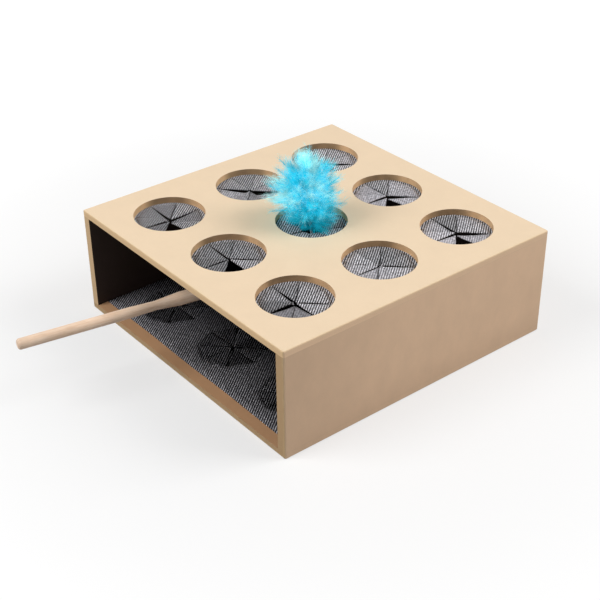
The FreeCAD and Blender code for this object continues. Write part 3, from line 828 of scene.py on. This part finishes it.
def in_window(x, y, margin=0.0):
    """True if a point lies in a window, or within a margin of one."""
    for cx, cy in CENTRES:
        ways = ((n + 0.5) * STEP for n in range(8))
        if all((x - cx) * math.cos(w) + (y - cy) * math.sin(w) < WINDOW + margin for w in ways):
            return True
    return False


def sheet_mesh(name, height, tone):
    """A flat net sheet with its windows. height(x, y) gives its level, and the last argument, a
    function of y, its brightness with any painted shade.
    """
    points, edges = [], []

    def outline(corners, parts):
        first = len(points)
        for a, b in zip(corners, corners[1:] + corners[:1]):
            points.extend(Vector(a).lerp(Vector(b), n / parts) for n in range(parts))
        count = len(points) - first
        edges.extend((first + n, first + (n + 1) % count) for n in range(count))

    outline([(-SHEET_X, SHEET_FRONT), (SHEET_X, SHEET_FRONT), (SHEET_X, SHEET_BACK),
             (-SHEET_X, SHEET_BACK)], OUTER_PARTS)
    for centre in CENTRES:
        outline(window_corners(centre), WINDOW_PARTS)
    steps_x = int(2 * SHEET_X / GRID_STEP)
    steps_y = int((SHEET_BACK - SHEET_FRONT) / GRID_STEP)
    for i in range(1, steps_x):
        for j in range(1, steps_y):
            shift = 0.25 * GRID_STEP * (1 if j % 2 else -1)
            x = -SHEET_X + i * 2 * SHEET_X / steps_x + shift
            y = SHEET_FRONT + j * (SHEET_BACK - SHEET_FRONT) / steps_y
            if not in_window(x, y, WINDOW_CLEARANCE):
                points.append(Vector((x, y)))
    places, unused, faces, *rest = delaunay_2d_cdt(points, edges, [], 1, 1e-7)
    kept = []
    for face in faces:
        middle = sum((places[n] for n in face), Vector((0, 0))) / len(face)
        if not in_window(middle.x, middle.y):
            kept.append(face)
    mesh = bpy.data.meshes.new(name)
    mesh.from_pydata([(p.x, p.y, height(p.x, p.y)) for p in places], [], kept)
    weave = mesh.uv_layers.new(name="weave").data
    for loop in mesh.loops:
        weave[loop.index].uv = places[loop.vertex_index]
    tones = [tone(p.y) for p in places]
    for title, values in (("plain", [SHEET_PAINTED_SHEEN] * len(places)), ("tone", tones)):
        mesh.attributes.new(title, "FLOAT", "POINT").data.foreach_set("value", values)
    return mesh


print(f"{len(CENTRES)} windows of {2 * WINDOW / MM:.1f} mm in each sheet")

# %% Make the top sheet
TOP_TONE = 0.85
STEM_RING = 8.1 * MM
top_parts = [sheet_mesh("net_top", lambda x, y: CLOTH_MIDDLE, lambda y: TOP_TONE)]
for title, star in WHOLE.items():
    place, flaps = flaps_of(star)
    tip = STEM_RING if title == "middle_middle" else FLAP_TIP
    top_parts.extend(
        flap_mesh(place, number, hang, CLOTH_MIDDLE, tip, SET_IN) for number, hang in flaps)
net_top = join_meshes("net_top", top_parts)
area = make_cloth(net_top, "box", "top_cloth")
print(f"top sheet of {area * 1e4:.0f} cm2")

# %% Make the bottom sheet
# The floor cloth is painted brighter near the open front and black in shade deeper inside.
LIT_DEPTH = 0.085
DEEP_SHADE_TONE, FRONT_LIGHT_TONE, SHADE_FADE_POWER = 0.1, 1.1, 1.5
WRINKLE = 0.8 * MM
# Wrinkles start at the first distance from a hole's middle and grow over the second.
SMOOTH_REACH, GROWTH_REACH = 27.5 * MM, 12.0 * MM
# Their waves across, along and in the bend, in radians per metre, and the bend in radians.
WAVES_X, WAVES_Y, BEND_WAVES, BEND_REACH = 61.0, 23.0, 40.0, 1.5
dice = random.Random(7)


def between(low, high, unit=1.0):
    """A random number between two limits, in a unit."""
    return dice.uniform(low, high) * unit


def floor_light_and_shade(y):
    """Painted light and shade of the floor cloth: brighter in front, where light comes in at the
    open side, and painted black in shade behind.
    """
    inward = min(max((y - SHEET_FRONT) / LIT_DEPTH, 0.0), 1.0)
    return DEEP_SHADE_TONE + FRONT_LIGHT_TONE * (1 - inward) ** SHADE_FADE_POWER


def wrinkled(x, y):
    """Low waves that die out smoothly towards the windows."""
    bend = BEND_REACH * math.sin(BEND_WAVES * y)
    wave = 0.5 + 0.5 * math.sin(WAVES_X * x + WAVES_Y * y + bend)
    nearest = min(math.hypot(x - cx, y - cy) for cx, cy in CENTRES)
    fade = min(max((nearest - SMOOTH_REACH) / GROWTH_REACH, 0.0), 1.0)
    return FLOOR_MIDDLE + WRINKLE * wave * fade * fade * (3 - 2 * fade)


bottom_parts = [sheet_mesh("net_floor", wrinkled, floor_light_and_shade)]
for x, y in CENTRES:
    for number in range(1, 9):
        hang = (between(-0.5, 1.5), between(-8.0, 4.0), 0.0,
                floor_light_and_shade(y) * dice.choice((0.5, 0.8, 1.0)))
        bottom_parts.append(flap_mesh((x, y), number, hang, FLOOR_MIDDLE, FLAP_TIP, SET_IN))
net_floor = join_meshes("net_floor", bottom_parts, floor_net)
area = make_cloth(net_floor, "box", "bottom_cloth")
print(f"bottom sheet of {area * 1e4:.0f} cm2")

# %% [markdown]
# ## The flaps that fold
#
# The stars of the two side columns have a hinge for each flap, so each of their 48 flaps is
# a piece of its own on its own body. It takes the place of the stiff leaf that the frame has
# there, with the same fold line.

# %% Make the folding flaps
for title, star in FOLDING.items():
    place, flaps = flaps_of(star)
    for number, hang in flaps:
        name = f"{title}_{number}"
        mesh = join_meshes(f"net_{name}", [flap_mesh(place, number, hang, CLOTH_MIDDLE)])
        area = make_cloth(mesh, f"flap_{name}", f"flap_{name}")
print(f"{8 * len(FOLDING)} folding flaps, the last of {area * 1e4:.2f} cm2")

# %% [markdown]
# ## The stick
#
# The handle is turned from pale wood. The frame has its exact form, so only a finish is
# needed: long grain along the stick, made from noise that is stretched that way, and slow
# clouds of a darker and a paler tone. A Mapping node turns the pattern by the stick's own
# turn, so that the grain follows the wood and not the room.

# %% Finish the stick
WAND_TURN = 10.2 * DEGREE
GRAIN_STRETCH = (1.0, 0.05, 1.0)


def make_wood():
    finish, tree, shader = new_material("pale_wood", Specular_IOR_Level=0.4)
    place = tree.place()
    turned = tree.first("ShaderNodeMapping", {"Vector": place, "Rotation": (0, 0, WAND_TURN)})
    long_way = tree.vectors("MULTIPLY", turned, GRAIN_STRETCH)
    grain = tree.noise(long_way, 950.0, 4.0, Distortion=0.4)
    pores = tree.ramp(tree.noise(long_way, 3200.0, 2.0), 0.6, 0.75, 0.0, 0.25)
    clouds = tree.ramp(tree.noise(place, 60.0, 3.0), 0.3, 0.7, 0.92, 1.05)
    colour = tree.mix(tree.ramp(grain, 0.3, 0.7), paint(234, 200, 170), paint(246, 220, 196))
    colour = tree.scaled(tree.mix(pores, colour, paint(184, 142, 112)), clouds)
    tree.feed(shader, Base_Color=colour, Roughness=tree.ramp(grain, 0.3, 0.7, 0.5, 0.62))
    tree.bump(shader, grain, 0.25, 0.15 * MM)
    return finish


wear("wand_dowel", make_wood())
print("stick finished")

# %% [markdown]
# ## The stem
#
# The stem is drawn steel wire. Drawing leaves very fine lines along a wire; at this size they
# only spread the highlight a little, so noise in the roughness and a faint change of colour
# are enough. Inside the plume the feathers are tied on with a thread of their own colour,
# which a wave texture along the wire shows turn by turn.

# %% Finish the stem
THREAD_LEVEL = 0.089
THREAD_TURNS = {"Scale": 700.0, "Distortion": 0.6}


def make_wire(name, bound_from=None):
    """Drawn wire. Above a level, if one is given, blue thread is wound round it."""
    finish, tree, shader = new_material(name, Metallic=1.0)
    place = tree.place()
    specks = tree.noise(place, 1500.0, 3.0)
    colour = tree.mix(tree.ramp(specks, 0.3, 0.7), paint(176, 176, 180), paint(205, 205, 208))
    rough = tree.ramp(specks, 0.3, 0.7, 0.28, 0.42)
    if bound_from is not None:
        level = tree.parts(place)[2]
        bound = tree.ramp(level, bound_from, bound_from + 0.5 * MM)
        turns = tree.node(
            "ShaderNodeTexWave", {"Vector": place, **THREAD_TURNS}, bands_direction="Z"
        ).outputs["Fac"]
        thread = tree.mix(tree.ramp(level, 0.11, 0.135), paint(44, 186, 220), paint(166, 234, 242))
        thread = tree.mix(tree.ramp(turns, 0.2, 0.8, 0.0, 0.25), thread, paint(236, 250, 252))
        colour = tree.mix(bound, colour, thread)
        rough = tree.sums("MULTIPLY_ADD", bound, 0.35, rough)
        # Light comes through the down to the thread, so it glows a little as the down does.
        shader.inputs["Emission Strength"].default_value = 0.55
        tree.feed(shader, Metallic=tree.fall(bound, 0.0, 1.0),
                  Emission_Color=tree.mix(bound, paint(0, 0, 0), thread))
    tree.feed(shader, Base_Color=colour, Roughness=rough)
    return finish


wear("stem_lower", make_wire("drawn_wire"))
wear("stem_upper", make_wire("drawn_wire_with_thread", THREAD_LEVEL))
print("stem finished")

# %% [markdown]
# ## The colour of the down
#
# Dyed down is deepest where it is thick and near the quill, and its loose tips are so thin
# that they look almost white against the light. Two attributes that the next tree stores on
# every strand say how far it is along its quill and along its own length, and two more make
# each barb and each tuft a little paler or darker. Down also lets light through, so a little
# of its own colour is added as a glow.

# %% Make the down material
SHADED_LEVELS = (0.080, 0.108)


def make_down_finish():
    finish, tree, shader = new_material("blue_down", Roughness=0.75, Specular_IOR_Level=0.2,
                                        Emission_Strength=0.46)
    along, outward, shade, pale = (
        tree.attribute(title) for title in ("along", "outward", "shade", "pale"))
    near = tree.ramp(tree.plus(along, pale), -0.3, 0.35)
    far = tree.sums("MULTIPLY_ADD", outward, 0.5, tree.times(along, 0.62))
    far = tree.ramp(tree.plus(far, pale), 0.6, 1.3)
    colour = tree.mix(near, paint(2, 104, 128), paint(30, 202, 226))
    colour = tree.mix(far, colour, paint(186, 238, 238))
    # Whole locks are darker or lighter, and the down that stands in the hole is in shade.
    place = tree.place()
    locks = tree.ramp(tree.noise(place, 110.0, 1.0), 0.3, 0.6, 0.72, 1.06)
    dim = tree.times(locks, tree.ramp(tree.parts(place)[2], *SHADED_LEVELS, 0.66, 1.0))
    varied = tree.scaled(colour, tree.times(tree.ramp(shade, 0.0, 1.0, 0.7, 1.12), dim))
    tree.feed(shader, Base_Color=varied, Emission_Color=varied)
    return finish


down = make_down_finish()
print("down finish ready")

# %% [markdown]
# ## The down as a rule
#
# A plume like this is a bunch of small down feathers. Each has a soft quill with hundreds of
# loose barbs, and each barb is fringed with finer barbules, which make the haze. Hair would
# render well but isn't a mesh, so a Geometry Nodes tree makes real strands: it builds one
# fringed barb, sets it along every quill by a random turn, tilt and size, and stirs the
# result with a soft noise so that the barbs clump as down does.

# %% Make the down tree
BARB_POINTS = 7
FRINGE_POINTS = 12
QUILL_PARTS = 8
BARB_TILTS = (0.55, 1.25)
FRINGE_TILTS = (0.7, 1.2)


def make_down_tree():
    tree, given, out = group(
        "down", "GeometryNodeTree",
        {"Geometry": ("Geometry",), "Int": ("Seed",), "Material": ("Finish",),
         "Float": ("Barb Step", "Barb Length", "Barb Width", "Barbule Length", "Barbule Width",
                   "Quill Radius", "Bend", "Stir", "Pale")},
        {"Geometry": ("Geometry",)},
    )
    factor = tree.node("GeometryNodeSplineParameter").outputs["Factor"]
    tangent = tree.first("GeometryNodeInputTangent")

    def resampled(curve, count):
        return tree.first("GeometryNodeResampleCurve", {"Curve": curve, "Count": count})

    def captured(curve, **fields):
        """Notes fields on a curve's points. Returns the curve and the notes."""
        made = tree.node("GeometryNodeCaptureAttribute", {"Geometry": curve}, domain="POINT")
        for number, (title, field) in enumerate(fields.items(), start=1):
            made.capture_items.new("VECTOR" if field == tangent else "FLOAT", title)
            tree.data.links.new(field, made.inputs[number])
        return made.outputs[:1 + len(fields)]

    def chance(low, high, seed):
        """A random number for each point, from its number and a seed of its own."""
        inputs = {"Seed": tree.plus(given["Seed"], seed), 2: low, 3: high}
        return tree.node("FunctionNodeRandomValue", inputs, data_type="FLOAT").outputs[1]

    def strewn(points, shape, way, tilts, size, seed):
        """Sets a shape on points: along their tangent, turned at random and tilted out."""
        turned = tree.first("FunctionNodeAlignRotationToVector", {"Vector": way}, axis="Z")
        spin = tree.vector(z=chance(0.0, 2 * math.pi, seed))
        tilt = tree.vector(x=chance(*tilts, seed + 1))
        for angles in (spin, tilt):
            by = tree.first("FunctionNodeEulerToRotation", {0: angles})
            turned = tree.first("FunctionNodeRotateRotation", {
                "Rotation": turned, "Rotate By": by}, rotation_space="LOCAL")
        return tree.first("GeometryNodeInstanceOnPoints", {
            "Points": points, "Instance": shape, "Rotation": turned, "Scale": size})

    def swept(curve, profile, share, tip, caps=False):
        """Draws a profile along a curve. It narrows to a share of its width at the tip."""
        slim = tree.first("GeometryNodeSetCurveRadius", {
            "Curve": curve, "Radius": tree.ramp(share, 0.0, 1.0, 1.0, tip)})
        return tree.first("GeometryNodeCurveToMesh", {
            "Curve": slim, "Profile Curve": profile, "Fill Caps": caps})

    # One barb: a line that bends to one side, made into a thin tapering ribbon.
    top = tree.vector(z=given["Barb Length"])
    line = resampled(tree.first("GeometryNodeCurvePrimitiveLine", {"End": top}), BARB_POINTS)
    lean = tree.vector(y=tree.times(factor, factor, given["Bend"]))
    line = tree.first("GeometryNodeSetPosition", {"Geometry": line, "Offset": lean})
    spine, spine_factor, spine_way = captured(line, outward=factor, way=tangent)
    half = tree.times(given["Barb Width"], 0.5)
    profile = tree.first("GeometryNodeCurvePrimitiveLine", {
        "Start": tree.vector(x=tree.times(half, -1.0)), "End": tree.vector(x=half)})
    ribbon = swept(tree.noted(spine, "outward", spine_factor), profile, spine_factor, 0.35)

    # Its fringe: long thin triangles, one unit long at first, on closer points of the line.
    sliver = tree.first("GeometryNodeMeshCircle", {"Vertices": 3, "Radius": 0.6667},
                        fill_type="NGON")
    upright = {"Rotation": (0, -math.pi / 2, 0), "Translation": (0, 0, 0.3333)}
    thin = {"Scale": tree.vector(1.0, given["Barbule Width"], given["Barbule Length"])}
    for change in (upright, thin):
        sliver = tree.first("GeometryNodeTransform", {"Geometry": sliver, **change})
    close = resampled(spine, FRINGE_POINTS)
    fringe = [
        tree.noted(strewn(close, sliver, spine_way, FRINGE_TILTS, (1, 1, 1), seed),
                   "outward", spine_factor, "INSTANCE")
        for seed in (11, 17)
    ]
    barb = tree.real(tree.joined(ribbon, *fringe))

    # The quills: the lines that the tree is run on, with a barb at every step.
    quills = tree.first("GeometryNodeMeshToCurve", {"Mesh": given["Geometry"]})
    steps = tree.first("GeometryNodeResampleCurve", {
        "Curve": quills, "Length": given["Barb Step"]}, mode="LENGTH")
    steps, along, way = captured(steps, along=factor, way=tangent)
    size = tree.times(chance(0.55, 1.15, 31), tree.ramp(along, 0.1, 1.0, 1.0, 0.5))
    barbs = strewn(steps, barb, way, BARB_TILTS, size, 37)
    barbs = tree.noted(barbs, "along", along, "INSTANCE")
    barbs = tree.real(tree.noted(barbs, "shade", chance(0.0, 1.0, 43), "INSTANCE"))

    # Stirring: every point drifts with a soft noise, more so towards a barb's end.
    noise = tree.noise(tree.first("GeometryNodeInputPosition"), 95.0, 1.0, out="Color")
    drift = tree.vectors("SUBTRACT", noise, (0.5, 0.5, 0.5))
    reach = tree.first("GeometryNodeInputNamedAttribute", {"Name": "outward"}, data_type="FLOAT")
    share = tree.times(given["Stir"], tree.plus(reach, 0.25))
    barbs = tree.first("GeometryNodeSetPosition", {
        "Geometry": barbs, "Offset": tree.scaled(drift, share)})

    shaft = tree.first("GeometryNodeCurvePrimitiveCircle", {
        "Resolution": 4, "Radius": given["Quill Radius"]})
    spread = tree.noted(resampled(quills, QUILL_PARTS + 1), "along", factor)
    shafts = swept(tree.noted(spread, "shade", 0.6), shaft, factor, 0.25, True)
    whole = tree.noted(tree.joined(barbs, shafts), "pale", given["Pale"])
    return tree.end(whole, given["Finish"], out)


down_tree = make_down_tree()
print(f"down tree with {len(down_tree.nodes)} nodes")

# %% [markdown]
# ## Where the feathers start
#
# The feathers are tied low on the stem and spread from there like a pompom: to every side,
# down to the cloth and up to a loose crest. Each is turned by the golden angle from the one
# above it, so that they fill every side evenly, and leans out further. The low ones are
# shorter, and least so on the two sides that the plume's lean lies along. At the front right
# they are pressed in. A second set of few, long, thin feathers makes the pale wisps, and a
# third, short one closes the hole in the cloth around the stem.

# %% Measure the stem
SWAY_LEVEL = 0.0787
LEAN = 5.0 * DEGREE
LEAN_HEADING = 231.5 * DEGREE
PRESSED_HEADING = -45.0 * DEGREE
# The share of its length that the low down loses where it is pressed, and gains at the sides.
PRESSED_LOSS, SIDE_GAIN = 0.6, 0.25
GOLDEN = math.pi * (3 - math.sqrt(5))
stem_way = Vector((
    math.sin(LEAN) * math.cos(LEAN_HEADING), math.sin(LEAN) * math.sin(LEAN_HEADING), math.cos(LEAN)
))
stem_foot = Vector((0, 0, SWAY_LEVEL))
side_way = (Vector((1, 0, 0)) - stem_way * stem_way.x).normalized()
other_way = stem_way.cross(side_way)


def quill(start, length, heading, slope, lift=0.0):
    """A curve in eight parts: it leaves the stem at a slope and turns upward by its lift."""
    out_way = math.cos(heading) * side_way + math.sin(heading) * other_way
    place = stem_foot + stem_way * start
    points = [place.copy()]
    for n in range(1, QUILL_PARTS + 1):
        bent = slope - lift * n / QUILL_PARTS
        way = math.sin(bent) * out_way + math.cos(bent) * stem_way
        place = place + way * (length / QUILL_PARTS)
        points.append(place.copy())
    return points


def leaning_share(heading):
    """1 on the side to which the plume leans, and -1 on the other."""
    return math.cos(heading - LEAN_HEADING)


def pressed_share(heading):
    """1 where the low down is pressed in, at the front right, and 0 from there to the back."""
    return max(0.0, math.cos(heading - PRESSED_HEADING))


def low_share(heading):
    """How much longer or shorter the low down is on this side."""
    kept = 1 - PRESSED_LOSS * pressed_share(heading)
    return kept * (1 + SIDE_GAIN * abs(leaning_share(heading)))


print(f"the stem leans by {LEAN / DEGREE:.1f} degrees")

# %% Draw the quills
# Millimetres up the stem, degrees away from it, and millimetres long. A share of 0 is the
# highest quill of the plume and a share of 1 the lowest.
QUILLS = 118
HIGHEST_START, START_SPAN = 35.5, 23.5
LEAST_SLOPE, SLOPE_SPAN, SLOPE_POWER = 8, 96, 0.62
QUILL_LENGTH, LOW_LOSS, LOSS_FROM = 27.0, 12.5, 0.35
SHOULDER_GAIN, SHOULDER, SHOULDER_REACH = 4.0, 0.28, 0.16
HIGH_UNTIL, MIDDLE_UNTIL = 0.3, 0.65
LEAN_GAIN, WISP_LEAN_GAIN = 0.06, 0.1
PRESSED_SLOPE = 32
SIDE_LOCKS = (5, 22, 40, 58, 205, 225)
CREST_WAYS = [(231.5, 1.0)] * 5 + [(45.0, 13.0)] * 6
TIP_WAYS = (30, 150, 270)
TIP_SLOPE, TIP_LIFT = 14, 8
SIDE_WISPS = 24
COLLAR_QUILLS = 24

dice = random.Random(23)
tufts = {"low": [], "middle": [], "high": [], "wisps": [], "collar": []}
for n in range(QUILLS):
    share = (n + 0.5) / QUILLS
    heading = n * GOLDEN + between(-0.3, 0.3)
    start = HIGHEST_START - START_SPAN * share + between(-3, 3)
    slope = (LEAST_SLOPE + SLOPE_SPAN * share ** SLOPE_POWER + between(-9, 9)) * DEGREE
    length = QUILL_LENGTH - LOW_LOSS * max(0.0, share - LOSS_FROM) / (1 - LOSS_FROM)
    length += SHOULDER_GAIN * max(0.0, 1 - abs(share - SHOULDER) / SHOULDER_REACH)
    length *= (1 + LEAN_GAIN * leaning_share(heading) * math.sin(slope)) * between(0.8, 1.12)
    lift = between(-20, 24, DEGREE)
    place = "high" if share < HIGH_UNTIL else "middle" if share < MIDDLE_UNTIL else "low"
    if place == "low":
        length *= low_share(heading)
        slope -= PRESSED_SLOPE * DEGREE * pressed_share(heading)
    tufts[place].append(quill(start * MM, length * MM, heading, slope, lift))
for heading in SIDE_LOCKS:
    # A few locks at both sides lie on the cloth and reach the rim of the hole.
    tufts["low"].append(quill(
        between(7, 9, MM), between(17, 20, MM), heading * DEGREE, between(88, 96, DEGREE)))

# A call's values are drawn in the order in which they are written.
for heading, slope in CREST_WAYS:
    # The crest stands in two locks, one straight on the stem and one a little to the right.
    tufts["wisps"].append(quill(
        heading=heading * DEGREE + between(-0.5, 0.5), slope=(slope + between(-5, 5)) * DEGREE,
        start=between(24, 31, MM), length=between(30, 37, MM), lift=between(-6, 6, DEGREE)))
for n in range(SIDE_WISPS):
    heading = n * GOLDEN + between(-0.4, 0.4)
    tufts["wisps"].append(quill(
        heading=heading, slope=between(34, 80, DEGREE),
        length=between(24, 30) * (1 + WISP_LEAN_GAIN * leaning_share(heading)) * MM,
        start=between(22, 33, MM), lift=between(-16, 16, DEGREE)))
for heading in TIP_WAYS:
    # Three more close round the end of the stem, so that it doesn't show.
    tufts["wisps"].append(quill(
        between(46, 49, MM), between(15, 18, MM), heading * DEGREE, TIP_SLOPE * DEGREE,
        TIP_LIFT * DEGREE))
for n in range(COLLAR_QUILLS):
    tufts["collar"].append(quill(
        between(2.5, 7.0, MM), between(4.5, 8.0, MM), n * GOLDEN, between(62, 100, DEGREE),
        between(-14, 14, DEGREE)))
print({place: len(quills) for place, quills in tufts.items()}, "quills")

# %% Grow the down
# The sizes of the strands, in millimetres.
DOWN = dict(Barb_Step=0.21, Barb_Length=10.5, Barb_Width=0.12, Barbule_Length=2.0,
            Barbule_Width=0.08, Quill_Radius=0.2, Bend=3.5, Stir=8.0)
WISPS = dict(DOWN, Barb_Step=0.2, Barb_Length=12.5, Barb_Width=0.065, Barbule_Length=2.8,
             Barbule_Width=0.055, Bend=4.5, Stir=10.0)
COLLAR = dict(DOWN, Barb_Step=0.26, Barb_Length=5.0, Bend=1.2, Stir=3.0)
# Tuft: seed, sizes, and how much paler it is than the rest.
TUFTS = {"low": (100, DOWN, 0.0), "middle": (200, DOWN, 0.0), "high": (300, DOWN, 0.0),
         "wisps": (500, WISPS, 0.5), "collar": (600, COLLAR, -0.4)}


def quill_mesh(quills):
    """The quills of a tuft, as the lines of one mesh."""
    points, edges = [], []
    for line in quills:
        first = len(points)
        points.extend(line)
        edges.extend((first + n, first + n + 1) for n in range(len(line) - 1))
    mesh = bpy.data.meshes.new("quills")
    mesh.from_pydata(points, edges, [])
    return mesh


for title, (seed, sizes, pale) in TUFTS.items():
    inputs = {name: size * MM for name, size in sizes.items()}
    mesh = grow(down_tree, f"down_{title}", quill_mesh(tufts[title]), Seed=seed, Pale=pale,
                Finish=down, **inputs)
    piece = new_object(f"down_{title}", mesh)
    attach(piece, "plume")
    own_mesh(piece)
    heights = [vertex.co.z for vertex in mesh.vertices]
    print(piece.name, len(mesh.polygons), "faces, z", round(min(heights), 4), round(max(heights), 4))
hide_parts("feather_plume")

# %% [markdown]
# ## Bringing the scene up to date

# The looks may stand a little proud of the frame's box, but not change its size.

# %% Update the scene
bpy.context.view_layer.update()
